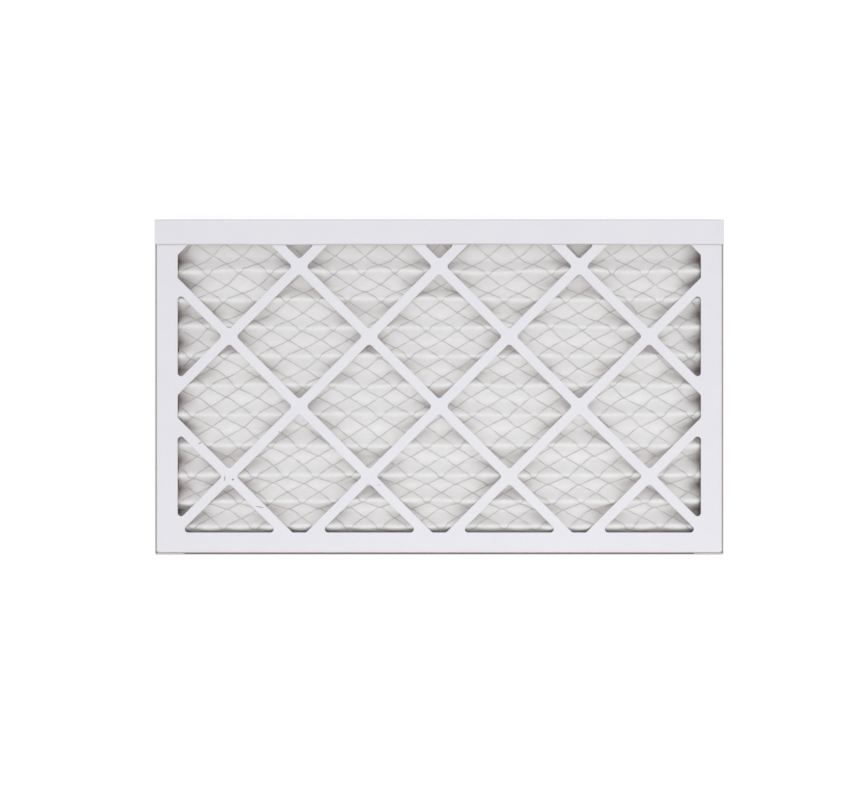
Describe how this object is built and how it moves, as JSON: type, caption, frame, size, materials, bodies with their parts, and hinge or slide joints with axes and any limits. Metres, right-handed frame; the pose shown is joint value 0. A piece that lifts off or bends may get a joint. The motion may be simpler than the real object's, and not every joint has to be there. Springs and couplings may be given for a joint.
{
  "type": "pleated panel air filter",
  "caption": "Flat rectangular air filter: a folded white fibre sheet with diamond wire backing, held in a shallow folded board tray with a diagonal lattice over each face.",
  "frame": {"origin": "centre of the footprint on the rear face, which the panel lies on", "axes": "+X along the long side, +Y across the panel towards the closing flap, +Z out of the front face, which shows the flap and the wire-backed side of the pleats"},
  "size_m": [0.4952, 0.2922, 0.0191],
  "materials": {
    "outer_board": "white clay-coated board, matt, brown inside",
    "inner_board": "white clay-coated board, matt, brown inside",
    "filter_media": "white nonwoven fibre, matt and slightly fuzzy",
    "mesh_wire": "galvanised steel, slit and stretched",
    "adhesive": "hot-melt adhesive, pale amber"
  },
  "bodies": {
    "root": {"rear_frame": "outer_board", "front_frame": "inner_board", "pleated_media": "filter_media", "support_mesh": "mesh_wire", "seal_left": "adhesive", "seal_right": "adhesive", "seal_top": "adhesive", "seal_bottom": "adhesive"}
  },
  "joints": []
}
